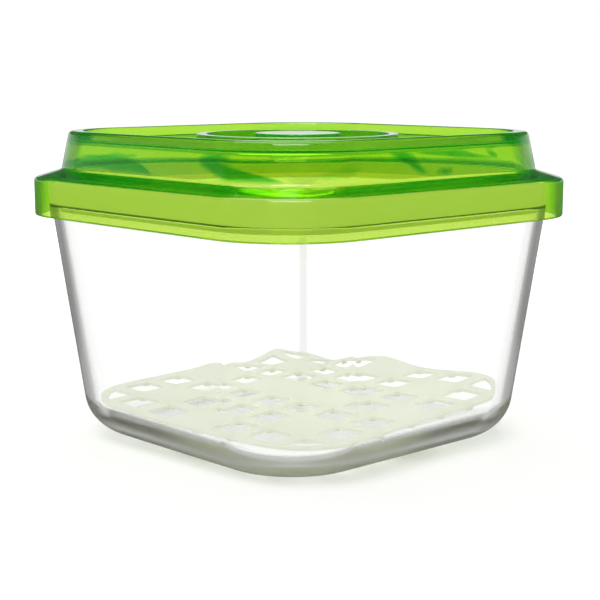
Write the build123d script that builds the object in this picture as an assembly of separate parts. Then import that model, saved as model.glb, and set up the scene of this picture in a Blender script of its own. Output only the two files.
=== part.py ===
from build123d import *

import os

# A square glass jar with a press-on lid and a drain mat. Millimetres, +Z up.
# The origin is on the jar's axis, on the surface that it stands on.

# Heights above that surface.
FLOOR_TOP = 6.0
SKIRT_BOTTOM = 78.8
RIM_TOP = 83.0
SEAL_TOP = 90.9
SKIRT_TOP = 91.9
TIER_BASE = 94.9
PANEL_TOP = 104.7
RING_TOP = 107.2
BUTTON_TOP = 107.4
LID_TOP = 108.3

# Half the width across the sides, beside the corners. A side bows out further at its middle.
JAR_BASE_HALF = 62.4
JAR_RIM_HALF = 70.4
SKIRT_HALF = 75.0
TIER_BASE_HALF = 67.2
TIER_TOP_HALF = 65.1

# Corner radii in plan, and how far each side bows out.
JAR_BASE_CORNER = 31.5
JAR_RIM_CORNER = 28.0
JAR_BOW = 1.0
SKIRT_CORNER = 30.0
TIER_CORNER = 27.4
LID_BOW = 0.8

# The jar's wall, its rounded bottom edge and its foot.
JAR_WALL = 3.5
JAR_BOTTOM_RADIUS = 13.4
CAVITY_BOTTOM_RADIUS = 10.0
RIM_RADIUS = 1.2
FOOT_INSET = 19.0
FOOT_RECESS = 0.8

# The lid's walls and edges.
SKIRT_WALL = 2.7
SKIRT_EDGE_RADIUS = 1.6
TIER_FOOT_RADIUS = 0.8
LID_LIP_RADIUS = 0.6
TIER_BASE_WALL = 4.2
TIER_TOP_WALL = 2.9

# The tier's raised rim, which is thicker in its corners, and the thin panel sunk inside it.
RIM_CORNER_FILL = 6.0
RIM_EDGE_RADIUS = 1.1
PANEL = 1.4
PANEL_EDGE_RADIUS = 0.8
PANEL_INSIDE_RADIUS = 1.0

# The ring and the hollow button that stand on the panel.
RING_RADIUS = 35.5
RING_WIDTH = 3.5
BUTTON_RADIUS = 15.0
RAISED_EDGE_RADIUS = 0.4

# The collar under the lid that the seal is pushed over, and the seal.
COLLAR_BOTTOM = 84.0
COLLAR_WALL = 1.6
SEAL_GAP = 0.1
SEAL_LIP_BOTTOM = 80.8
SEAL_LIP_CLEARANCE = 0.4
SEAL_EDGE_RADIUS = 0.4

# The drain mat: a thin lattice on short pegs.
MAT_TOP = 13.9
MAT_THICKNESS = 1.5
MAT_HALF = 58.2
MAT_CORNER = 27.5
MAT_BOW = 0.5
MAT_BORDER = 2.8
MAT_CELLS = 7
MAT_PITCH = 15.8
MAT_HOLE = 9.6
MAT_HOLE_RADIUS = 1.2
MAT_CLOSED_CELLS = [(1, 4), (2, 2), (2, 6), (4, 1), (4, 3), (4, 4), (4, 5), (4, 7), (6, 2), (6, 6), (7, 4)]
PEG_RADIUS = 1.5
PEG_LENGTH = 1.6
PEG_INSET = 0.2


def bowed_square(half, corner, bow, height):
    """Flat face at a height: a square with round corners and gently bowed sides."""
    corners = [(-half, -half), (half, -half), (half, half), (-half, half)]
    reach = half + bow
    middles = [(0, -reach), (reach, 0), (0, reach), (-reach, 0)]
    ends = corners[1:] + corners[:1]
    sides = [ThreePointArc(a, m, b) for a, m, b in zip(corners, middles, ends)]
    face = make_face(sides)
    return Pos(0, 0, height) * fillet(face.vertices(), corner)


def stack(sections):
    """Solid with straight walls through sections of (half, corner, bow, height)."""
    return loft([bowed_square(*section) for section in sections], ruled=True)


def edges_at(solid, height):
    """A solid's edges that lie flat at a height."""
    return solid.edges().filter_by_position(Axis.Z, height - 0.01, height + 0.01)


def jar_section(height, inset):
    """The jar's outline at a height, moved in by inset."""
    share = height / RIM_TOP
    half = JAR_BASE_HALF + (JAR_RIM_HALF - JAR_BASE_HALF) * share
    corner = JAR_BASE_CORNER + (JAR_RIM_CORNER - JAR_BASE_CORNER) * share
    return half - inset, corner - inset, JAR_BOW, height


def glass_jar():
    """The jar: a tapered shell with a thick rounded bottom and a shallow recess under its foot."""
    body = stack([jar_section(0, 0), jar_section(RIM_TOP, 0)])
    body = fillet(edges_at(body, 0), JAR_BOTTOM_RADIUS)
    cavity = stack([jar_section(FLOOR_TOP, JAR_WALL), jar_section(RIM_TOP + 1, JAR_WALL)])
    cavity = fillet(edges_at(cavity, FLOOR_TOP), CAVITY_BOTTOM_RADIUS)
    body = body - cavity
    body = fillet(edges_at(body, RIM_TOP), RIM_RADIUS)
    half, corner, bow, _ = jar_section(0, FOOT_INSET)
    recess = stack([(half, corner, bow, -1), (half - 1, corner - 1, bow, FOOT_RECESS)])
    return body - recess


def lid_outside():
    """The lid as if solid below: a skirt, a sloping shoulder and a square tier with a sunk top."""
    outside = stack(
        [
            (SKIRT_HALF, SKIRT_CORNER, LID_BOW, SKIRT_BOTTOM),
            (SKIRT_HALF, SKIRT_CORNER, LID_BOW, SKIRT_TOP),
            (TIER_BASE_HALF, TIER_CORNER, LID_BOW, TIER_BASE),
            (TIER_TOP_HALF, TIER_CORNER, LID_BOW, LID_TOP),
        ]
    )
    half = TIER_TOP_HALF - TIER_TOP_WALL
    corner = TIER_CORNER - TIER_TOP_WALL + RIM_CORNER_FILL
    recess = stack([(half, corner, LID_BOW, PANEL_TOP), (half, corner, LID_BOW, LID_TOP + 1)])
    outside = outside - fillet(edges_at(recess, PANEL_TOP), PANEL_EDGE_RADIUS)
    outside = fillet(edges_at(outside, LID_TOP), RIM_EDGE_RADIUS)
    outside = fillet(edges_at(outside, TIER_BASE), TIER_FOOT_RADIUS)
    outside = fillet(edges_at(outside, SKIRT_TOP), SKIRT_EDGE_RADIUS)
    return fillet(edges_at(outside, SKIRT_BOTTOM), LID_LIP_RADIUS)


def collar_section(height, inset):
    """Outline inside the lid's tier, which the collar carries on downwards, moved in by inset."""
    share = (height - TIER_BASE) / (LID_TOP - TIER_BASE)
    wall = TIER_BASE_WALL + (TIER_TOP_WALL - TIER_BASE_WALL) * max(share, 0)
    outside = TIER_BASE_HALF + (TIER_TOP_HALF - TIER_BASE_HALF) * max(share, 0)
    return outside - wall - inset, TIER_CORNER - wall - inset, LID_BOW, height


def disc(radius, bottom, top):
    """Upright round solid on the lid's axis."""
    return Pos(0, 0, (bottom + top) / 2) * Cylinder(radius, top - bottom)


def panel_ring():
    """The round ring that stands on the lid's panel."""
    foot = PANEL_TOP - PANEL / 2
    ring = disc(RING_RADIUS, foot, RING_TOP) - disc(RING_RADIUS - RING_WIDTH, foot, RING_TOP)
    return fillet(edges_at(ring, RING_TOP), RAISED_EDGE_RADIUS)


def panel_button():
    """The round button in the middle of the lid's panel, as if solid."""
    button = disc(BUTTON_RADIUS, PANEL_TOP - PANEL / 2, BUTTON_TOP)
    return fillet(edges_at(button, BUTTON_TOP), RAISED_EDGE_RADIUS)


def lid_shell():
    """The lid: one moulding, hollow below, with a collar for the seal and a sunk panel on top."""
    inset = SKIRT_WALL
    skirt = (SKIRT_HALF - inset, SKIRT_CORNER - inset, LID_BOW)
    skirt_space = stack([(*skirt, SKIRT_BOTTOM - 1), (*skirt, SEAL_TOP)])
    collar = stack([collar_section(COLLAR_BOTTOM, -COLLAR_WALL), collar_section(SEAL_TOP, -COLLAR_WALL)])
    panel_underside = PANEL_TOP - PANEL
    tier_space = stack(
        [
            collar_section(COLLAR_BOTTOM - 1, 0),
            collar_section(TIER_BASE, 0),
            collar_section(panel_underside, 0),
        ]
    )
    tier_space = fillet(edges_at(tier_space, panel_underside), PANEL_INSIDE_RADIUS)
    button_hollow = disc(BUTTON_RADIUS - PANEL, panel_underside - 1, BUTTON_TOP - PANEL)
    shell = lid_outside() - (skirt_space - collar) - tier_space
    return shell + panel_ring() + panel_button() - button_hollow


def lid_seal():
    """The soft ring round the collar: a flange on the jar's rim and a lip inside its mouth."""
    half, corner, bow, _ = collar_section(SEAL_TOP, -COLLAR_WALL - SEAL_GAP)
    rim_half, rim_corner, _, _ = jar_section(RIM_TOP, RIM_RADIUS / 2)
    lip_half, lip_corner, lip_bow, _ = jar_section(SEAL_LIP_BOTTOM, JAR_WALL + SEAL_LIP_CLEARANCE)
    flange = stack([(rim_half, rim_corner, bow, RIM_TOP), (rim_half, rim_corner, bow, SEAL_TOP)])
    flange = fillet(edges_at(flange, RIM_TOP), SEAL_EDGE_RADIUS)
    lip = stack([(lip_half, lip_corner, lip_bow, SEAL_LIP_BOTTOM), (lip_half, lip_corner, lip_bow, SEAL_TOP)])
    lip = fillet(edges_at(lip, SEAL_LIP_BOTTOM), SEAL_EDGE_RADIUS)
    inside = stack([(half, corner, bow, SEAL_LIP_BOTTOM - 1), (half, corner, bow, SEAL_TOP + 1)])
    return flange + lip - inside


def mat_hole(column, row):
    """One cell's opening, kept inside the mat's border."""
    middle = (MAT_CELLS + 1) / 2
    place = Pos((column - middle) * MAT_PITCH, (row - middle) * MAT_PITCH)
    hole = extrude(place * RectangleRounded(MAT_HOLE, MAT_HOLE, MAT_HOLE_RADIUS), MAT_TOP + 1)
    inset = MAT_BORDER
    field = (MAT_HALF - inset, MAT_CORNER - inset, MAT_BOW)
    return hole & stack([(*field, 0), (*field, MAT_TOP + 1)])


def drain_mat():
    """The mat: a lattice with some cells closed, on pegs under its border and its ribs' crossings."""
    bottom = MAT_TOP - MAT_THICKNESS
    outline = (MAT_HALF, MAT_CORNER, MAT_BOW)
    mat = stack([(*outline, bottom), (*outline, MAT_TOP)])
    cells = [(c, r) for c in range(1, MAT_CELLS + 1) for r in range(1, MAT_CELLS + 1)]
    for column, row in cells:
        if (column, row) not in MAT_CLOSED_CELLS:
            mat = mat - mat_hole(column, row)
    reach = MAT_HALF - PEG_RADIUS - PEG_INSET
    lines = [(i - MAT_CELLS / 2) * MAT_PITCH for i in range(1, MAT_CELLS)]
    spots = [-reach, *lines, reach]
    corner_middle = MAT_HALF - MAT_CORNER
    for x in spots:
        for y in spots:
            out = Vector(max(abs(x) - corner_middle, 0), max(abs(y) - corner_middle, 0)).length
            if out < MAT_CORNER - PEG_RADIUS:
                peg = Pos(x, y, bottom - PEG_LENGTH / 2 + 0.25) * Cylinder(PEG_RADIUS, PEG_LENGTH + 0.5)
                mat = mat + peg
    return mat


os.makedirs("parts", exist_ok=True)
export_step(glass_jar(), "parts/glass_jar.step")
export_step(lid_shell(), "parts/lid_shell.step")
export_step(lid_seal(), "parts/lid_seal.step")
export_step(drain_mat(), "parts/drain_mat.step")
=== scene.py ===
import math

import bmesh
import bpy
from mathutils import Matrix, Vector


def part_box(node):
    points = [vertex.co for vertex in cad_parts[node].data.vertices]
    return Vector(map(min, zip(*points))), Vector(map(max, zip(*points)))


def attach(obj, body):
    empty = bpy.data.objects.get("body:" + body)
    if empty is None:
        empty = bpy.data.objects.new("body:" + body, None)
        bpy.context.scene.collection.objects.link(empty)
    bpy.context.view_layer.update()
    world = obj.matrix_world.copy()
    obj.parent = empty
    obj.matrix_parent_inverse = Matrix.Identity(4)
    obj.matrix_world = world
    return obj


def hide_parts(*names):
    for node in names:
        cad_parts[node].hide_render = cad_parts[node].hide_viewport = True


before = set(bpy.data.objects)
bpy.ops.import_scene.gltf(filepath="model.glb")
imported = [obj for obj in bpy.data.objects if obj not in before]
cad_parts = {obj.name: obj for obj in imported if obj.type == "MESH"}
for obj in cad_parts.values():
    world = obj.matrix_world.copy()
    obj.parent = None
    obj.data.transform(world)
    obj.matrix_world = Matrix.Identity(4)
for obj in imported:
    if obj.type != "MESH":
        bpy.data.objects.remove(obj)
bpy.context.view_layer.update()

MM = 0.001

# Levels and widths that the CAD model gives.
jar_low, jar_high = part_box("glass_jar")
shell_low, shell_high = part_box("lid_shell")
_, seal_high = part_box("lid_seal")
_, mat_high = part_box("drain_mat")

# How far a side bows out at its middle.
JAR_BOW = 1.0 * MM
LID_BOW = 0.8 * MM
MAT_BOW = 0.5 * MM

# Heights.
TABLE = jar_low.z
RIM_TOP = jar_high.z
FLOOR_TOP = TABLE + 6.3 * MM
SKIRT_BOTTOM = shell_low.z
SKIRT_TOP = SKIRT_BOTTOM + 13.1 * MM
TIER_BASE = SKIRT_TOP + 3.0 * MM
LID_TOP = shell_high.z
SEAL_TOP = seal_high.z + 0.4 * MM
SEAL_LIP_BOTTOM = RIM_TOP - 2.2 * MM
COLLAR_BOTTOM = RIM_TOP + 1.0 * MM

# Half widths beside the corners.
JAR_RIM_HALF = jar_high.x - JAR_BOW
JAR_BASE_HALF = JAR_RIM_HALF - 8.0 * MM
SKIRT_HALF = shell_high.x - LID_BOW
TIER_BASE_HALF = SKIRT_HALF - 7.8 * MM
TIER_TOP_HALF = SKIRT_HALF - 9.9 * MM

# Corner radii.
JAR_BASE_CORNER = 31.5 * MM
JAR_RIM_CORNER = 28.0 * MM
SKIRT_CORNER = 30.0 * MM
TIER_CORNER = 27.4 * MM

# Walls and rounded edges.
JAR_WALL = 3.3 * MM
JAR_BOTTOM_RADIUS = 12.8 * MM
CAVITY_BOTTOM_RADIUS = 8.0 * MM
RIM_RADIUS = 1.2 * MM
FOOT_INSET = 22.0 * MM
FOOT_RECESS = 0.3 * MM
FOOT_SLOPE = 6.0 * MM
FOOT_CORNER = 12.0 * MM
FOOT_INNER_CORNER = 8.0 * MM
FOOT_ROUND = 0.8 * MM
SKIRT_WALL = 2.2 * MM
TIER_BASE_WALL = 3.4 * MM
TIER_TOP_WALL = 2.9 * MM
COLLAR_WALL = 1.6 * MM
TIER_TOP_ROUND = 1.2 * MM
RECESS_EDGE_ROUND = 0.9 * MM
PANEL_EDGE_ROUND = 0.8 * MM
CEILING_ROUND = 1.0 * MM
TIER_BASE_ROUND = 0.8 * MM
SKIRT_TOP_ROUND = 0.9 * MM
SKIRT_BOTTOM_ROUND = 0.6 * MM
RING_ROUND = 0.4 * MM
SEAL_GAP = 0.1 * MM
LIP_GAP = 0.4 * MM
SEAL_ROUND = 0.4 * MM

# The sunk panel inside the lid's rim, and the ring and the button that stand on it.
PANEL = 0.4 * MM
PANEL_TOP = LID_TOP - 3.6 * MM
RIM_CORNER_FILL = 6.0 * MM
RING_RADIUS = 35.5 * MM
RING_WIDTH = 3.5 * MM
RING_TOP = LID_TOP - 1.1 * MM
BUTTON_RADIUS = 15.0 * MM
BUTTON_TOP = LID_TOP - 0.9 * MM

# The drain mat: a lattice in a soft sheet, with some cells closed and pegs below, lying a little askew. Each
# peg reaches a little past its length, at the top into the sheet.
MAT_TOP = mat_high.z
MAT_HALF = mat_high.x - MAT_BOW
MAT_CORNER = 27.5 * MM
MAT_SHEET = 1.0 * MM
MAT_BORDER = 2.8 * MM
MAT_CELLS = 7
MAT_PITCH = 15.8 * MM
MAT_HOLE = 11.0 * MM
MAT_HOLE_RADIUS = 1.2 * MM
MAT_CLOSED_CELLS = [(1, 4), (2, 2), (2, 6), (4, 1), (4, 3), (4, 4), (4, 5), (4, 7), (6, 2), (6, 6), (7, 4)]
PEG_RADIUS = 1.5 * MM
PEG_LENGTH = 1.1 * MM
PEG_INSET = 0.2 * MM
PEG_EXTRA = 0.2 * MM
MAT_TURN = 3.4
MAT_SHIFT = (1.0 * MM, -0.5 * MM)

# How the soft mat lies: its tilt and twist, and the places where it bulges up or sags, in millimetres
# as (x, y, reach, height). The tilt and the twist are what they come to at the reach from the axis.
MAT_REACH = 50 * MM
MAT_LIFT = -0.2
MAT_TILT = (0.7, -0.2)
MAT_TWIST = -0.5
MAT_BULGES = [
    (40, 58, 5, 2.4),
    (20, 58, 7, -0.8),
    (10, 58, 5, 1.0),
    (56, 54, 6, 1.2),
    (58, 38, 7, -1.8),
    (58, 14, 9, 2.4),
    (57, -34, 14, 2.0),
    (20, 20, 10, 1.0),
    (-58, 0, 15, -1.8),
    (-50, -54, 15, -1.5),
]

# Unevenness of the surfaces, as (how many waves to a metre, how deep, how detailed).
GLASS_WAVES = (28.0, 0.03 * MM, 2.0)
PLASTIC_WAVES = (45.0, 0.04 * MM, 2.0)
SILICONE_GRAIN = (900.0, 0.03 * MM, 2.0)
MAT_GRAIN = (700.0, 0.04 * MM, 4.0)

# Roughness of the surfaces, as (the least, how much the unevenness adds). The glass's least changes with
# height.
GLASS_ROUGH_BOTTOM = 0.16
GLASS_ROUGH_WALL = 0.010
GLASS_ROUGH_ADDED = 0.01
PLASTIC_ROUGH = (0.02, 0.02)
SILICONE_ROUGH = (0.35, 0.2)
MAT_ROUGH = (0.40, 0.25)

# A filter that changes nothing.
CLEAR = (1, 1, 1)

# Glass: its colour, the painted shade that greys it where it is looked at along the wall and in a band down
# its back corner, the light that falls through it, and what its thickness takes, as (density, colour). The
# bottom passes into the walls between two heights.
GLASS_IOR = 1.52
GLASS_COLOUR = (0.985, 0.99, 0.985)
GLASS_PAINTED_SHADE = (0.52, 0.53, 0.50)
GLASS_PAINTED_SHADE_FACING = (0.53, 0.66)
GLASS_LIGHT = (0.96, 0.965, 0.96)
GLASS_DEPTH = (10.0, (0.66, 0.665, 0.62))
GLASS_WALL_START = (TABLE + 6.5 * MM, TABLE + 9.0 * MM)

# A band of painted shade down the glass's back corner, for the dark that the corner's refraction shows: how
# dark it is, between which shares of its width it fades out, and how wide it is, up to the height where it
# widens towards the rim, and at the rim.
BACK_CORNER_PAINTED_SHADE = 0.40
BACK_SHADE_FADE = (0.3, 1.0)
BACK_SHADE_WIDTH = 4.6 * MM
BACK_SHADE_WIDENS = TABLE + 68 * MM
BACK_SHADE_RIM_WIDTH = 20 * MM

# Plastic: its tint; the painted shade that darkens it at the lid's top, where the rim stands, and where it
# is looked at along the wall; and long dark streaks of painted shade in the tier's walls, for what the
# walls' refraction shows.
PLASTIC_IOR = 1.5
PLASTIC_TINT = (0.73, 0.87, 0.24)
PLASTIC_TOP_PAINTED_SHADE = (0.52, 0.76, 0.14)
PAINTED_TOP_SHADE_REACH = (PANEL_TOP - 1.5 * MM, PANEL_TOP - PANEL)
PLASTIC_EDGE_PAINTED_SHADE = (0.30, 0.70, 0.25)
PLASTIC_PAINTED_SHADE_FACING = (0.45, 0.80)
PLASTIC_PAINTED_STREAKS = (0.12, 0.60, 0.20)
PLASTIC_LIGHT = (0.97, 0.985, 0.9)
PLASTIC_DEPTH = (270.0, (0.715, 0.895, 0.0))
PLASTIC_HAZE = (0.0, 0.9, 0.05)
HAZE_SHARE = 0.06
PAINTED_STREAK_STRETCH = (30, 14, 70)
PAINTED_STREAK_BEND = 0.8
PAINTED_STREAK_CUT = (0.575, 0.625)
PAINTED_STREAK_START = (TIER_BASE, TIER_BASE + 2 * MM)

# Silicone: pale, with a painted green cast outside for light that reaches it through the lid, and painted
# green light where it is up inside the lid.
SILICONE_OUTSIDE = (0.80, 0.86, 0.55)
SILICONE_PAINTED_GREEN_LIGHT = (0.78, 0.80, 0.12)

# The mat's plastic: the two colours that it wanders between, and the light that comes through it.
MAT_COLOURS = ((0.83, 0.86, 0.78), (0.89, 0.90, 0.845))
MAT_CLOUDS = 60.0
MAT_GLOW = (0.94, 0.945, 0.90)
MAT_GLOW_SHARE = 0.60

# Light: what falls on the piece, what clear stuff shows of the background, and what reflections show.
WORLD_LIGHT = 0.75
SEEN_THROUGH = 1.25
ROOM_DARK = 0.45
ROOM_LIGHT = 0.85
ROOM_ABOVE = 0.85
ROOM_ABOVE_START = (0.35, 0.7)
ROOM_OUTSIDE = 0.1
ROOM_STRIP = 0.9
ROOM_STRIP_END = (0.09, 0.17)

# The floor: its paper, its level in reflections near the piece, and its glow further away, each with the
# distances from the axis between which it changes.
PAPER = (0.9, 0.9, 0.9)
FLOOR_SIZE = 6
FLOOR_GAP = 0.1 * MM
NEAR_FLOOR = 0.68
NEAR_FLOOR_REACH = (0.10, 0.22)
FAR_FLOOR_GLOW = 0.35
FAR_FLOOR_REACH = (0.15, 0.60)

# The camera: how far it is turned, how far off, how far to the side and how high it stands, and what it
# looks at.
CAMERA_TURN = math.radians(-42.6)
CAMERA_DISTANCE = 506.9 * MM
CAMERA_ASIDE = -0.35 * MM
CAMERA_HEIGHT = TABLE + 129.3 * MM
AIM_ASIDE = 0.85 * MM
AIM_HEIGHT = TABLE + 47.3 * MM
LENS = 85.27
SENSOR_WIDTH = 36

# Meshes: steps round a corner, cuts along a side, how far rings are moved apart to be bridged, and the
# angle from which an edge is shaded sharp.
CORNER_STEPS = 32
SIDE_CUTS = 9
APART = 0.37 * MM
SHARP = math.radians(35)


def bevel(bm, geometry, radius, steps, affect="EDGES", slide=False):
    """Rounds edges or corners."""
    bmesh.ops.bevel(
        bm,
        geom=geometry,
        offset=radius,
        offset_type="OFFSET",
        affect=affect,
        segments=steps,
        profile=0.5,
        material=-1,
        loop_slide=slide,
    )


def outline(bm, half, corner, height):
    """Adds a flat square ring with round corners at a height, and gives its edges."""
    level = Matrix.Translation((0, 0, height))
    verts = bmesh.ops.create_grid(bm, x_segments=1, y_segments=1, size=half, matrix=level)["verts"]
    others = set(bm.faces) - set(verts[0].link_faces)
    bevel(bm, verts, corner, CORNER_STEPS, affect="VERTICES")
    face = next(f for f in bm.faces if f not in others)
    sides = [e for e in face.edges if e.calc_length() > half / 4]
    bmesh.ops.subdivide_edges(bm, edges=sides, cuts=SIDE_CUTS)
    ring = list(face.edges)
    bmesh.ops.delete(bm, geom=[face], context="FACES_ONLY")
    return ring


def circle(bm, radius, height, like):
    """Adds a round ring with as many points as another ring has."""
    turned = Matrix.Translation((0, 0, height))
    made = bmesh.ops.create_circle(bm, segments=len(like), radius=radius, matrix=turned)
    return list({e for v in made["verts"] for e in v.link_edges})


def join(bm, rings, closed=False):
    """Bridges each ring to the next, and the last to the first if closed. Two rings at one height are
    moved apart while that is done, because the operator needs a way from one to the other."""
    pairs = list(zip(rings, rings[1:] + rings[:1]))
    for ring, following in pairs if closed else pairs[:-1]:
        verts = list({v for e in following for v in e.verts})
        bmesh.ops.translate(bm, verts=verts, vec=(0, 0, APART))
        bmesh.ops.bridge_loops(bm, edges=ring + following)
        bmesh.ops.translate(bm, verts=verts, vec=(0, 0, -APART))


def cap(bm, ring):
    """Closes a flat ring with a face."""
    bmesh.ops.contextual_create(bm, geom=ring)


def round_edge(bm, ring, radius, steps):
    """Rounds the edge that a ring makes. The faces beside it have to point one way first."""
    bmesh.ops.recalc_face_normals(bm, faces=bm.faces)
    bevel(bm, ring, radius, steps, slide=True)


def bow_sides(bm, half, bow):
    """Bows a square form's sides outwards, most at their middles."""
    for v in bm.verts:
        x, y = v.co.x, v.co.y
        v.co.x = x * (1 + bow / half * max(1 - (y / half) ** 2, 0))
        v.co.y = y * (1 + bow / half * max(1 - (x / half) ** 2, 0))


def new_piece(name, bm, body, node, material):
    """Makes a finished piece of a bmesh: shaded smooth, riding on a body, in place of a CAD node."""
    bmesh.ops.recalc_face_normals(bm, faces=bm.faces)
    for edge in bm.edges:
        edge.smooth = edge.calc_face_angle(0) < SHARP
    mesh = bpy.data.meshes.new(name)
    bm.to_mesh(mesh)
    bm.free()
    mesh.materials.append(material)
    for face in mesh.polygons:
        face.use_smooth = True
    piece = bpy.data.objects.new(name, mesh)
    bpy.context.scene.collection.objects.link(piece)
    shading = piece.modifiers.new("even shading", "WEIGHTED_NORMAL")
    shading.mode = "FACE_AREA"
    shading.weight = 60
    shading.keep_sharp = True
    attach(piece, body)
    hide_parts(node)
    return piece


def jar_half(height):
    """The tapered jar's half width at a height."""
    return JAR_BASE_HALF + (JAR_RIM_HALF - JAR_BASE_HALF) * (height - TABLE) / (RIM_TOP - TABLE)


def jar_corner(height):
    """The tapered jar's corner radius at a height."""
    return JAR_BASE_CORNER + (JAR_RIM_CORNER - JAR_BASE_CORNER) * (height - TABLE) / (RIM_TOP - TABLE)


def jar_ring(bm, height, inset):
    """One ring of the jar's tapered form, moved in by inset."""
    return outline(bm, jar_half(height) - inset, jar_corner(height) - inset, height)


def glass_jar(material):
    """The tapered jar, from the recess under its bottom up the outside, over the rim and down the inside."""
    bm = bmesh.new()
    foot_half = JAR_BASE_HALF - FOOT_INSET
    foot_inside = outline(bm, foot_half - FOOT_SLOPE, FOOT_INNER_CORNER, TABLE + FOOT_RECESS)
    foot = outline(bm, foot_half, FOOT_CORNER, TABLE)
    base = jar_ring(bm, TABLE, 0)
    rim_outside = jar_ring(bm, RIM_TOP, 0)
    rim_inside = jar_ring(bm, RIM_TOP, JAR_WALL)
    cavity_floor = jar_ring(bm, FLOOR_TOP, JAR_WALL)
    join(bm, [foot_inside, foot, base, rim_outside, rim_inside, cavity_floor])
    cap(bm, foot_inside)
    cap(bm, cavity_floor)
    round_edge(bm, base, JAR_BOTTOM_RADIUS, 14)
    round_edge(bm, cavity_floor, CAVITY_BOTTOM_RADIUS, 12)
    round_edge(bm, rim_outside, RIM_RADIUS, 4)
    round_edge(bm, rim_inside, RIM_RADIUS, 4)
    round_edge(bm, foot, FOOT_ROUND, 3)
    bow_sides(bm, JAR_RIM_HALF, JAR_BOW)
    return new_piece("jar_glass", bm, "jar", "glass_jar", material)


def lid_shell(material):
    """The lid's moulding: its outside up to the sunk panel, and its inside down to the skirt's edge."""
    bm = bmesh.new()
    inner_skirt_half = SKIRT_HALF - SKIRT_WALL
    inner_skirt_corner = SKIRT_CORNER - SKIRT_WALL
    collar_half = TIER_BASE_HALF - TIER_BASE_WALL
    collar_corner = TIER_CORNER - TIER_BASE_WALL
    recess_half = TIER_TOP_HALF - TIER_TOP_WALL
    recess_corner = TIER_CORNER - TIER_TOP_WALL
    filled_corner = recess_corner + RIM_CORNER_FILL
    skirt_bottom = outline(bm, SKIRT_HALF, SKIRT_CORNER, SKIRT_BOTTOM)
    skirt_top = outline(bm, SKIRT_HALF, SKIRT_CORNER, SKIRT_TOP)
    tier_base = outline(bm, TIER_BASE_HALF, TIER_CORNER, TIER_BASE)
    tier_top = outline(bm, TIER_TOP_HALF, TIER_CORNER, LID_TOP)
    rim_inside = outline(bm, recess_half, filled_corner, LID_TOP)
    panel_edge = outline(bm, recess_half, filled_corner, PANEL_TOP)
    ring_foot = circle(bm, RING_RADIUS, PANEL_TOP, tier_top)
    ring_top = circle(bm, RING_RADIUS, RING_TOP, tier_top)
    ring_inside = circle(bm, RING_RADIUS - RING_WIDTH, RING_TOP, tier_top)
    ring_floor = circle(bm, RING_RADIUS - RING_WIDTH, PANEL_TOP, tier_top)
    button_foot = circle(bm, BUTTON_RADIUS, PANEL_TOP, tier_top)
    button_top = circle(bm, BUTTON_RADIUS, BUTTON_TOP, tier_top)
    button_ceiling = circle(bm, BUTTON_RADIUS - PANEL, BUTTON_TOP - PANEL, tier_top)
    button_hollow = circle(bm, BUTTON_RADIUS - PANEL, PANEL_TOP - PANEL, tier_top)
    ceiling = outline(bm, recess_half, recess_corner, PANEL_TOP - PANEL)
    tier_inside = outline(bm, collar_half, collar_corner, TIER_BASE)
    collar_bottom = outline(bm, collar_half, collar_corner, COLLAR_BOTTOM)
    collar_foot = outline(bm, collar_half + COLLAR_WALL, collar_corner + COLLAR_WALL, COLLAR_BOTTOM)
    collar_root = outline(bm, collar_half + COLLAR_WALL, collar_corner + COLLAR_WALL, SEAL_TOP)
    ledge = outline(bm, inner_skirt_half, inner_skirt_corner, SEAL_TOP)
    skirt_inside = outline(bm, inner_skirt_half, inner_skirt_corner, SKIRT_BOTTOM)
    outside = [skirt_bottom, skirt_top, tier_base, tier_top, rim_inside, panel_edge]
    top = [ring_foot, ring_top, ring_inside, ring_floor, button_foot, button_top]
    below = [button_ceiling, button_hollow, ceiling, tier_inside]
    collar = [collar_bottom, collar_foot, collar_root]
    join(bm, outside + top)
    join(bm, below + collar + [ledge, skirt_inside, skirt_bottom])
    cap(bm, button_top)
    cap(bm, button_ceiling)
    round_edge(bm, tier_top, TIER_TOP_ROUND, 5)
    round_edge(bm, rim_inside, RECESS_EDGE_ROUND, 4)
    round_edge(bm, panel_edge, PANEL_EDGE_ROUND, 4)
    round_edge(bm, ceiling, CEILING_ROUND, 4)
    round_edge(bm, tier_base, TIER_BASE_ROUND, 3)
    round_edge(bm, skirt_top, SKIRT_TOP_ROUND, 4)
    round_edge(bm, skirt_bottom, SKIRT_BOTTOM_ROUND, 3)
    round_edge(bm, skirt_inside, SKIRT_BOTTOM_ROUND, 3)
    for ring in (ring_top, ring_inside, button_top):
        round_edge(bm, ring, RING_ROUND, 3)
    bow_sides(bm, SKIRT_HALF, LID_BOW)
    return new_piece("lid_moulding", bm, "lid", "lid_shell", material)


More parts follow.
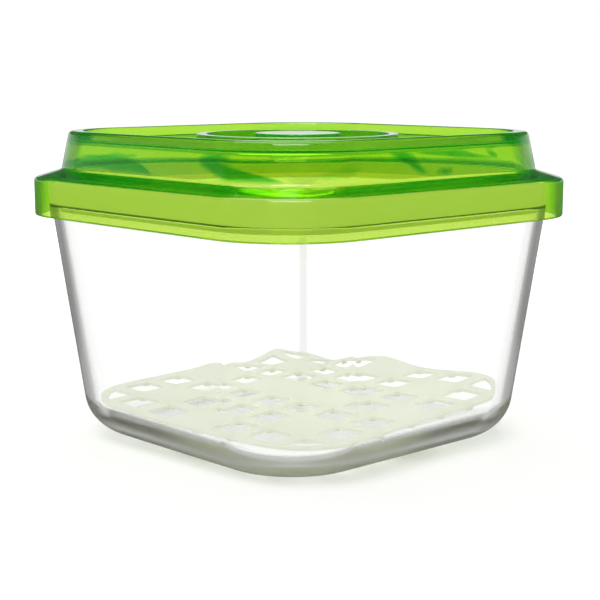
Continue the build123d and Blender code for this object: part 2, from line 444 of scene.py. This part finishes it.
def lid_seal(material):
    """The soft ring between the lid's ledge and the jar's rim, with a lip down inside the jar's mouth."""
    bm = bmesh.new()
    collar_face = TIER_BASE_WALL - COLLAR_WALL - SEAL_GAP
    inner = TIER_BASE_HALF - collar_face
    inner_corner = TIER_CORNER - collar_face
    outer = JAR_RIM_HALF - RIM_RADIUS / 2
    outer_corner = JAR_RIM_CORNER - RIM_RADIUS / 2
    lip = jar_half(SEAL_LIP_BOTTOM) - JAR_WALL - LIP_GAP
    lip_corner = jar_corner(SEAL_LIP_BOTTOM) - JAR_WALL - LIP_GAP
    top = SEAL_TOP - 2 * SEAL_GAP
    flange_bottom = outline(bm, outer, outer_corner, RIM_TOP)
    flange_top = outline(bm, outer, outer_corner, top)
    inside_top = outline(bm, inner, inner_corner, top)
    inside_bottom = outline(bm, inner, inner_corner, SEAL_LIP_BOTTOM)
    lip_bottom = outline(bm, lip, lip_corner, SEAL_LIP_BOTTOM)
    lip_root = outline(bm, lip, lip_corner, RIM_TOP)
    join(bm, [flange_bottom, flange_top, inside_top, inside_bottom, lip_bottom, lip_root], closed=True)
    round_edge(bm, flange_bottom, SEAL_ROUND, 3)
    round_edge(bm, flange_top, SEAL_ROUND, 3)
    round_edge(bm, lip_bottom, SEAL_ROUND, 3)
    bow_sides(bm, SKIRT_HALF, LID_BOW)
    return new_piece("seal_ring", bm, "lid", "lid_seal", material)


def cut_through(bm, axis, places):
    """Cuts everything along planes square to an axis."""
    normal = Vector((0, 0, 0))
    normal[axis] = 1
    for place in places:
        geometry = bm.verts[:] + bm.edges[:] + bm.faces[:]
        bmesh.ops.bisect_plane(bm, geom=geometry, dist=1e-6, plane_co=normal * place, plane_no=normal)


def within(x, y, half, corner):
    """Whether a spot lies in a square with round corners."""
    return math.hypot(max(abs(x) - half + corner, 0), max(abs(y) - half + corner, 0)) < corner


def open_cell(x, y):
    """Whether a spot lies in the opening of one of the mat's cells, inside the mat's border."""
    cell = [place / MAT_PITCH + (MAT_CELLS + 1) / 2 for place in (x, y)]
    nearest = tuple(round(c) for c in cell)
    inside = all(abs(c - n) * MAT_PITCH < MAT_HOLE / 2 for c, n in zip(cell, nearest))
    in_field = within(x, y, MAT_HALF - MAT_BORDER, MAT_CORNER - MAT_BORDER)
    return inside and in_field and nearest not in MAT_CLOSED_CELLS


def lie(x, y):
    """How far above its flat place the soft mat lies at a spot."""
    u, v = x / MAT_REACH, y / MAT_REACH
    height = MAT_LIFT + MAT_TILT[0] * u + MAT_TILT[1] * v + MAT_TWIST * u * v
    for middle_x, middle_y, reach, bulge in MAT_BULGES:
        away = (x / MM - middle_x) ** 2 + (y / MM - middle_y) ** 2
        height += bulge * math.exp(-away / (2 * reach**2))
    return height * MM


def peg_spots():
    """Where the mat's pegs stand: under its ribs' crossings and along its border."""
    reach = MAT_HALF - PEG_RADIUS - PEG_INSET
    lines = [-reach, *((i - MAT_CELLS / 2) * MAT_PITCH for i in range(1, MAT_CELLS)), reach]
    spots = [(x, y) for x in lines for y in lines]
    return [spot for spot in spots if within(*spot, MAT_HALF - PEG_RADIUS, MAT_CORNER - PEG_RADIUS)]


def drain_mat(material):
    """The lattice, cut out of one flat face with a round-cornered border, made a sheet, put on its pegs, and
    laid askew and bulged as a soft mat lies."""
    bm = bmesh.new()
    border = outline(bm, MAT_HALF, MAT_CORNER, MAT_TOP)
    field = outline(bm, MAT_HALF - MAT_BORDER, MAT_CORNER - MAT_BORDER, MAT_TOP)
    join(bm, [border, field])
    cap(bm, field)
    middles = [(i - (MAT_CELLS - 1) / 2) * MAT_PITCH for i in range(MAT_CELLS)]
    hole_sides = [middle + side * MAT_HOLE / 2 for middle in middles for side in (-1, 1)]
    for axis in (0, 1):
        cut_through(bm, axis, hole_sides)
    holes = [face for face in bm.faces if open_cell(*face.calc_center_median().xy)]
    bmesh.ops.delete(bm, geom=holes, context="FACES")
    bmesh.ops.recalc_face_normals(bm, faces=bm.faces)
    bmesh.ops.solidify(bm, geom=bm.faces[:], thickness=MAT_SHEET)
    upright = [e for e in bm.edges if abs(e.verts[0].co.z - e.verts[1].co.z) > MAT_SHEET / 2]
    corners = [e for e in upright if e.calc_face_angle(0) > 1]
    bevel(bm, corners, MAT_HOLE_RADIUS, 3)
    ribs = [(i - MAT_CELLS / 2) * MAT_PITCH for i in range(MAT_CELLS + 1)]
    between = [middle + side * MAT_HOLE / 4 for middle in middles for side in (-1, 0, 1)]
    for axis in (0, 1):
        cut_through(bm, axis, ribs + between)
    for x, y in peg_spots():
        place = Matrix.Translation((x, y, MAT_TOP - MAT_SHEET - PEG_LENGTH / 2))
        bmesh.ops.create_cone(
            bm,
            cap_ends=True,
            segments=16,
            radius1=PEG_RADIUS,
            radius2=PEG_RADIUS,
            depth=PEG_LENGTH + 2 * PEG_EXTRA,
            matrix=place,
        )
    bow_sides(bm, MAT_HALF, MAT_BOW)
    bmesh.ops.rotate(bm, verts=bm.verts, matrix=Matrix.Rotation(math.radians(MAT_TURN), 3, "Z"))
    bmesh.ops.translate(bm, verts=bm.verts, vec=(*MAT_SHIFT, 0))
    for v in bm.verts:
        v.co.z += lie(v.co.x, v.co.y)
    return new_piece("mat_lattice", bm, "mat", "drain_mat", material)


def shader_tree(name):
    """A new material with its node tree, its main shader and its output."""
    material = bpy.data.materials.new(name)
    material.use_nodes = True
    tree = material.node_tree
    return material, tree, tree.nodes["Principled BSDF"], tree.nodes["Material Output"]


def feed(tree, socket, value):
    """Gives a socket its value: from another socket, or a plain number or colour."""
    if isinstance(value, bpy.types.NodeSocket):
        tree.links.new(value, socket)
    elif socket.type == "RGBA":
        socket.default_value = (*value, 1)
    else:
        socket.default_value = value


def node(tree, kind, sockets, **settings):
    """Adds a node with its settings, feeds its sockets by name or number, and gives what comes out."""
    made = tree.nodes.new("ShaderNode" + kind)
    for name, value in settings.items():
        setattr(made, name, value)
    for name, value in sockets.items():
        feed(tree, made.inputs[name], value)
    return made.outputs


def calc(tree, operation, *values):
    """A result of plain arithmetic."""
    return node(tree, "Math", dict(enumerate(values)), operation=operation)[0]


def flip(tree, share):
    """1 where a share is 0, and 0 where it is 1."""
    return calc(tree, "SUBTRACT", 1.0, share)


def choose(tree, switch, off, on):
    """Goes from one value to the other as the switch goes from 0 to 1."""
    return node(tree, "Mix", {"Factor": switch, "A": off, "B": on})["Result"]


def ramp_up(tree, value, low, high):
    """Rises smoothly from 0 at low to 1 at high."""
    sockets = {"Value": value, "From Min": low, "From Max": high}
    return node(tree, "MapRange", sockets, interpolation_type="SMOOTHSTEP")["Result"]


def blend(tree, share, first, second):
    """A colour between two colours."""
    return node(tree, "Mix", {"Factor": share, 6: first, 7: second}, data_type="RGBA")[2]


def filtered(tree, colour, through):
    """A colour seen through another."""
    return node(tree, "VectorMath", {0: colour, 1: through}, operation="MULTIPLY")["Vector"]


def mix_shaders(tree, share, first, second):
    """A look between two looks."""
    return node(tree, "MixShader", {"Fac": share, 1: first, 2: second})["Shader"]


def spot_on_piece(tree):
    """The spot on the piece, and its x, y and z."""
    spot = node(tree, "TexCoord", {})["Object"]
    return spot, node(tree, "SeparateXYZ", {"Vector": spot})


def noise(tree, spot, scale, detail=2.0, bend=0.0):
    """Soft random values over space."""
    sockets = {"Vector": spot, "Scale": scale, "Detail": detail, "Distortion": bend}
    return node(tree, "TexNoise", sockets)["Fac"]


def outwards(tree):
    """Above 0 where a surface faces away from the axis, below 0 where it faces in."""
    place = node(tree, "TexCoord", {})
    sockets = {0: place["Normal"], 1: place["Object"]}
    return node(tree, "VectorMath", sockets, operation="DOT_PRODUCT")["Value"]


def along_wall(tree, reach):
    """1 where a surface is looked at along itself, 0 where it is looked at squarely."""
    return ramp_up(tree, node(tree, "LayerWeight", {})["Facing"], *reach)


def uneven(tree, surface, waves, least, added):
    """Gives a surface gentle unevenness, as moulding and pressing leave it, in its form and its polish."""
    scale, depth, detail = waves
    height = noise(tree, spot_on_piece(tree)[0], scale, detail)
    bump = node(tree, "Bump", {"Strength": 1.0, "Distance": depth, "Height": height})
    feed(tree, surface.inputs["Normal"], bump["Normal"])
    feed(tree, surface.inputs["Roughness"], calc(tree, "MULTIPLY_ADD", height, added, least))


def let_light_through(tree, look, output, tint):
    """Light falls through the piece as through clear stuff, tinted, on what is behind it."""
    clear = node(tree, "BsdfTransparent", {"Color": tint})["BSDF"]
    path = node(tree, "LightPath", {})
    falling = calc(tree, "MAXIMUM", path["Is Shadow Ray"], path["Is Diffuse Ray"])
    feed(tree, output.inputs["Surface"], mix_shaders(tree, falling, look, clear))


def absorb(tree, output, density, colour):
    """Takes colour from what is seen through the piece, the more the thicker it is."""
    inside = node(tree, "VolumeAbsorption", {"Density": density, "Color": colour})
    feed(tree, output.inputs["Volume"], inside["Volume"])


def clear_glass():
    """Pressed glass, with painted shade: grey where it is looked at along the wall and in a band down its
    back corner, and less polished in the jar's bottom than in its walls."""
    material, tree, surface, output = shader_tree("clear pressed glass")
    surface.inputs["IOR"].default_value = GLASS_IOR
    surface.inputs["Transmission Weight"].default_value = 1
    x, y, z = spot_on_piece(tree)[1]
    wall = ramp_up(tree, z, *GLASS_WALL_START)
    least_rough = choose(tree, wall, GLASS_ROUGH_BOTTOM, GLASS_ROUGH_WALL)
    uneven(tree, surface, GLASS_WAVES, least_rough, GLASS_ROUGH_ADDED)
    # Painted shade: grey where the glass's outer wall is looked at along itself.
    outer = calc(tree, "MULTIPLY", calc(tree, "GREATER_THAN", outwards(tree), 0.0), wall)
    edge = calc(tree, "MULTIPLY", along_wall(tree, GLASS_PAINTED_SHADE_FACING), outer)
    # Painted shade: a grey band down the back corner, for what the corner's refraction shows, widening
    # towards the rim.
    off_diagonal = calc(tree, "ABSOLUTE", calc(tree, "SUBTRACT", x, y))
    width = choose(tree, ramp_up(tree, z, BACK_SHADE_WIDENS, RIM_TOP), BACK_SHADE_WIDTH, BACK_SHADE_RIM_WIDTH)
    back_shade_band = flip(tree, ramp_up(tree, calc(tree, "DIVIDE", off_diagonal, width), *BACK_SHADE_FADE))
    behind = calc(tree, "MULTIPLY", back_shade_band, calc(tree, "GREATER_THAN", x, 0.0))
    shade = calc(tree, "MAXIMUM", edge, calc(tree, "MULTIPLY", behind, BACK_CORNER_PAINTED_SHADE))
    feed(tree, surface.inputs["Base Color"], blend(tree, shade, GLASS_COLOUR, GLASS_PAINTED_SHADE))
    let_light_through(tree, surface.outputs["BSDF"], output, GLASS_LIGHT)
    absorb(tree, output, *GLASS_DEPTH)
    return material


def green_plastic():
    """See-through green plastic, with a trace of haze, slightly wavy, and with painted shade at its top,
    where it is looked at along the wall, and in streaks in the tier.
    """
    material, tree, surface, output = shader_tree("green see-through plastic")
    surface.inputs["IOR"].default_value = PLASTIC_IOR
    surface.inputs["Transmission Weight"].default_value = 1
    uneven(tree, surface, PLASTIC_WAVES, *PLASTIC_ROUGH)
    spot, (_, _, z) = spot_on_piece(tree)
    # Painted shade: the lid's top, where the rim stands, is tinted darker.
    top = ramp_up(tree, z, *PAINTED_TOP_SHADE_REACH)
    # Painted shade: dark streaks in the tier's walls, for what their refraction shows.
    streak_noise = noise(tree, filtered(tree, spot, PAINTED_STREAK_STRETCH), 1.0, bend=PAINTED_STREAK_BEND)
    in_wall = calc(tree, "MULTIPLY", ramp_up(tree, z, *PAINTED_STREAK_START), flip(tree, top))
    painted_streaks = calc(tree, "MULTIPLY", ramp_up(tree, streak_noise, *PAINTED_STREAK_CUT), in_wall)
    tint = blend(tree, top, PLASTIC_TINT, PLASTIC_TOP_PAINTED_SHADE)
    tint = filtered(tree, tint, blend(tree, painted_streaks, CLEAR, PLASTIC_PAINTED_STREAKS))
    # Painted shade: darker where the plastic is looked at along the wall.
    tint = filtered(tree, tint, blend(tree, along_wall(tree, PLASTIC_PAINTED_SHADE_FACING), CLEAR, PLASTIC_EDGE_PAINTED_SHADE))
    feed(tree, surface.inputs["Base Color"], tint)
    haze = node(tree, "BsdfTranslucent", {"Color": PLASTIC_HAZE})["BSDF"]
    hazy = mix_shaders(tree, HAZE_SHARE, surface.outputs["BSDF"], haze)
    let_light_through(tree, hazy, output, PLASTIC_LIGHT)
    absorb(tree, output, *PLASTIC_DEPTH)
    return material


def white_silicone():
    """Pale silicone with a painted green cast on its outer side. The inner side, up inside the lid, is
    painted with the green light that comes through the lid.
    """
    material, tree, surface, _ = shader_tree("white silicone")
    # Painted light: the inner side takes the colour of the lid's green light.
    inner = calc(tree, "LESS_THAN", outwards(tree), 0.0)
    feed(tree, surface.inputs["Base Color"], blend(tree, inner, SILICONE_OUTSIDE, SILICONE_PAINTED_GREEN_LIGHT))
    uneven(tree, surface, SILICONE_GRAIN, *SILICONE_ROUGH)
    return material


def frosted_mat():
    """Soft frosted plastic that light comes through, with a fine grain and slightly uneven colour."""
    material, tree, surface, output = shader_tree("frosted mat plastic")
    uneven(tree, surface, MAT_GRAIN, *MAT_ROUGH)
    clouds = noise(tree, spot_on_piece(tree)[0], MAT_CLOUDS)
    feed(tree, surface.inputs["Base Color"], blend(tree, clouds, *MAT_COLOURS))
    glow_through = node(tree, "BsdfTranslucent", {"Color": MAT_GLOW})["BSDF"]
    look = mix_shaders(tree, MAT_GLOW_SHARE, surface.outputs["BSDF"], glow_through)
    feed(tree, output.inputs["Surface"], look)
    return material


def floor(material):
    """A flat floor just under the piece."""
    bm = bmesh.new()
    bmesh.ops.create_grid(bm, x_segments=1, y_segments=1, size=FLOOR_SIZE)
    bmesh.ops.translate(bm, verts=bm.verts, vec=(0, 0, TABLE - FLOOR_GAP))
    mesh = bpy.data.meshes.new("studio_floor")
    bm.to_mesh(mesh)
    bm.free()
    mesh.materials.append(material)
    piece = bpy.data.objects.new("studio_floor", mesh)
    bpy.context.scene.collection.objects.link(piece)


def light_switches(tree):
    """Switches for camera rays, for what clear stuff shows with no reflection on the way, for what is
    reflected inside clear stuff, and for plain reflections off a surface."""
    path = node(tree, "LightPath", {})
    mirrored = calc(tree, "GREATER_THAN", path["Glossy Depth"], 0.5)
    through = calc(tree, "MULTIPLY", path["Is Transmission Ray"], flip(tree, mirrored))
    outside = calc(tree, "MULTIPLY", mirrored, calc(tree, "LESS_THAN", path["Transmission Depth"], 0.5))
    return path["Is Camera Ray"], through, mirrored, outside


def room_shade(tree, spot):
    """How bright the room is in a direction: light towards the piece's four corners, dark towards its sides.
    Gives the shade, the squared distance from the axis and the height."""
    x, y, height = node(tree, "SeparateXYZ", {"Vector": spot})
    across = calc(tree, "POWER", calc(tree, "MULTIPLY", x, y), 2.0)
    reach = calc(tree, "ADD", calc(tree, "MULTIPLY", x, x), calc(tree, "MULTIPLY", y, y))
    corners = calc(tree, "DIVIDE", across, calc(tree, "MAXIMUM", calc(tree, "POWER", reach, 2.0), 1e-12))
    return calc(tree, "MULTIPLY_ADD", corners, 4 * (ROOM_LIGHT - ROOM_DARK), ROOM_DARK), reach, height


def floor_paper():
    """White paper, shown as white as the background except where the piece shades it."""
    material, tree, surface, output = shader_tree("white studio paper")
    camera_ray, through, mirrored, outside = light_switches(tree)
    shade, reach, _ = room_shade(tree, node(tree, "TexCoord", {})["Object"])
    further = ramp_up(tree, reach, *(edge**2 for edge in NEAR_FLOOR_REACH))
    inner = choose(tree, further, NEAR_FLOOR, shade)
    paper = node(tree, "BsdfDiffuse", {"Color": PAPER})["BSDF"]
    far = ramp_up(tree, reach, *(edge**2 for edge in FAR_FLOOR_REACH))
    brightness = calc(tree, "MULTIPLY", camera_ray, choose(tree, far, 0.0, FAR_FLOOR_GLOW))
    brighten = node(tree, "Emission", {"Strength": brightness})["Emission"]
    shown = node(tree, "AddShader", {0: paper, 1: brighten})["Shader"]
    level = choose(tree, outside, choose(tree, mirrored, SEEN_THROUGH, inner), ROOM_OUTSIDE)
    glow = node(tree, "Emission", {"Strength": level})["Emission"]
    indirect = calc(tree, "MAXIMUM", through, mirrored)
    feed(tree, output.inputs["Surface"], mix_shaders(tree, indirect, shown, glow))
    tree.nodes.remove(surface)
    return material


def softbox(name, place, aim, width, power):
    """A square soft lamp that is turned to a spot."""
    lamp = bpy.data.lights.new(name, "AREA")
    lamp.shape = "RECTANGLE"
    lamp.size = width
    lamp.size_y = width
    lamp.energy = power
    holder = bpy.data.objects.new(name, lamp)
    holder.location = place
    holder.rotation_euler = (Vector(aim) - Vector(place)).to_track_quat("-Z", "Y").to_euler()
    bpy.context.scene.collection.objects.link(holder)
    return holder


def studio_world():
    """A white room that lights the piece evenly. Reflections show it darker, with a light strip low on its
    walls and, inside clear stuff, light from above."""
    world = bpy.data.worlds.new("studio")
    bpy.context.scene.world = world
    world.use_nodes = True
    tree = world.node_tree
    camera_ray, through, mirrored, outside = light_switches(tree)
    walls, _, height = room_shade(tree, node(tree, "TexCoord", {})["Generated"])
    inner = choose(tree, ramp_up(tree, height, *ROOM_ABOVE_START), walls, ROOM_ABOVE)
    strip = choose(tree, ramp_up(tree, height, *ROOM_STRIP_END), ROOM_STRIP, ROOM_OUTSIDE)
    lit = choose(tree, through, choose(tree, camera_ray, WORLD_LIGHT, 1.0), SEEN_THROUGH)
    level = choose(tree, outside, choose(tree, mirrored, lit, inner), strip)
    feed(tree, tree.nodes["Background"].inputs["Strength"], level)
    feed(tree, tree.nodes["Background"].inputs["Color"], CLEAR)


def camera():
    """Stands in front of one corner, a little above the lid, and looks slightly down."""
    right = Vector((math.cos(CAMERA_TURN), math.sin(CAMERA_TURN), 0))
    ahead = Vector((-math.sin(CAMERA_TURN), math.cos(CAMERA_TURN), 0))
    place = -ahead * CAMERA_DISTANCE + right * CAMERA_ASIDE + Vector((0, 0, CAMERA_HEIGHT))
    target = right * AIM_ASIDE + Vector((0, 0, AIM_HEIGHT))
    eye = bpy.data.cameras.new("camera")
    eye.lens = LENS
    eye.sensor_width = SENSOR_WIDTH
    holder = bpy.data.objects.new("camera", eye)
    holder.location = place
    holder.rotation_euler = (target - place).to_track_quat("-Z", "Y").to_euler()
    bpy.context.scene.collection.objects.link(holder)
    bpy.context.scene.camera = holder


glass_jar(clear_glass())

# The lid would throw a dark shadow on what is under it, so light passes it.
shell = lid_shell(green_plastic())
shell.visible_shadow = False
shell.visible_diffuse = False

lid_seal(white_silicone())

# The glass's bottom would mirror the mat's underside as dark patches.
lattice = drain_mat(frosted_mat())
lattice.visible_glossy = False

floor(floor_paper())
studio_world()
softbox("overhead softbox", place=(0.0, 0.2, 1.2), aim=(0, 0, 0), width=1.2, power=9)

# This one only gives the lid's edges their gleam.
gleam = softbox("front softbox", place=(-0.62, -0.68, 0.95), aim=(0, 0, 0.1), width=0.9, power=15)
gleam.visible_diffuse = False
camera()

# Light passes many walls on its way through the jar and the lid.
BOUNCES = 32
cycles = bpy.context.scene.cycles
cycles.max_bounces = BOUNCES
cycles.transmission_bounces = BOUNCES
cycles.glossy_bounces = BOUNCES
bpy.context.scene.view_settings.view_transform = "Standard"
